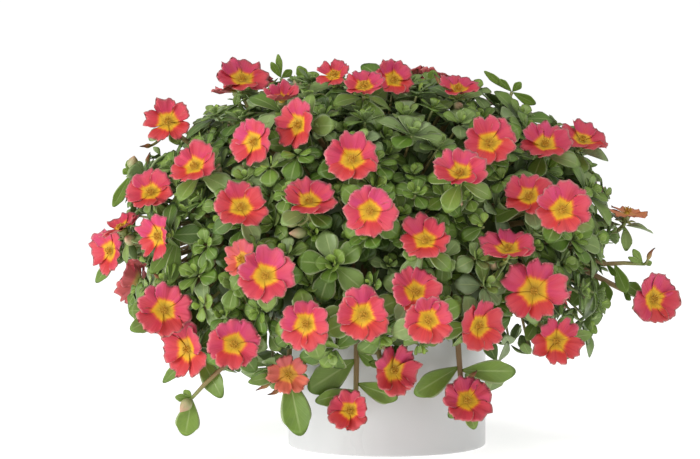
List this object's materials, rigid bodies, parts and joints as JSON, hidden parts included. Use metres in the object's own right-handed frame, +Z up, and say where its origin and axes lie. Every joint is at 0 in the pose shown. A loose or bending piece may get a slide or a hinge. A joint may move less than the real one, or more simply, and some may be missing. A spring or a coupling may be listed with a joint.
{
  "type": "potted portulaca",
  "caption": "Mounded flowering portulaca with coral-red cupped blooms and fleshy leaves, in a plain white cylindrical pot.",
  "frame": {"origin": "middle of the pot's flat underside", "axes": "+Z up, -Y the side that the picture shows, +X to the right as seen there"},
  "size_m": [0.4444, 0.4041, 0.2946],
  "materials": {
    "petal": "satin petals, coral red with a golden eye",
    "leaf": "fleshy waxy leaves, mid green, on green to brown stems",
    "pot_glaze": "smooth satin-gloss white glaze",
    "soil": "dark damp potting soil, crumbly"
  },
  "bodies": {
    "root": {"bloom_01": "petal", "bloom_02": "petal", "bloom_03": "petal", "bloom_04": "petal", "bloom_05": "petal", "bloom_06": "petal", "bloom_07": "petal", "bloom_08": "petal", "bloom_09": "petal", "bloom_10": "petal", "bloom_11": "petal", "bloom_12": "petal", "bloom_13": "petal", "bloom_14": "petal", "bloom_15": "petal", "bloom_16": "petal", "bloom_17": "petal", "bloom_18": "petal", "bloom_19": "petal", "bloom_20": "petal", "bloom_21": "petal", "bloom_22": "petal", "bloom_23": "petal", "bloom_24": "petal", "bloom_25": "petal", "bloom_26": "petal", "bloom_27": "petal", "bloom_28": "petal", "bloom_29": "petal", "bloom_30": "petal", "bloom_31": "petal", "bloom_32": "petal", "bloom_33": "petal", "bloom_34": "petal", "bloom_35": "petal", "bloom_36": "petal", "bloom_37": "petal", "bloom_38": "petal", "bloom_39": "petal", "bloom_40": "petal", "bloom_41": "petal", "bloom_42": "petal", "bloom_43": "petal", "bloom_44": "petal", "bloom_pair_01": "petal", "bloom_pair_02": "petal", "bloom_pair_03": "petal", "bloom_pair_04": "petal", "bloom_pair_05": "petal", "bloom_pair_06": "petal", "bloom_pair_07": "petal", "bloom_pair_08": "petal", "bloom_pair_09": "petal", "bloom_pair_10": "petal", "bloom_pair_11": "petal", "bloom_pair_12": "petal", "foliage": "leaf", "pot": "pot_glaze", "soil": "soil"}
  },
  "joints": []
}
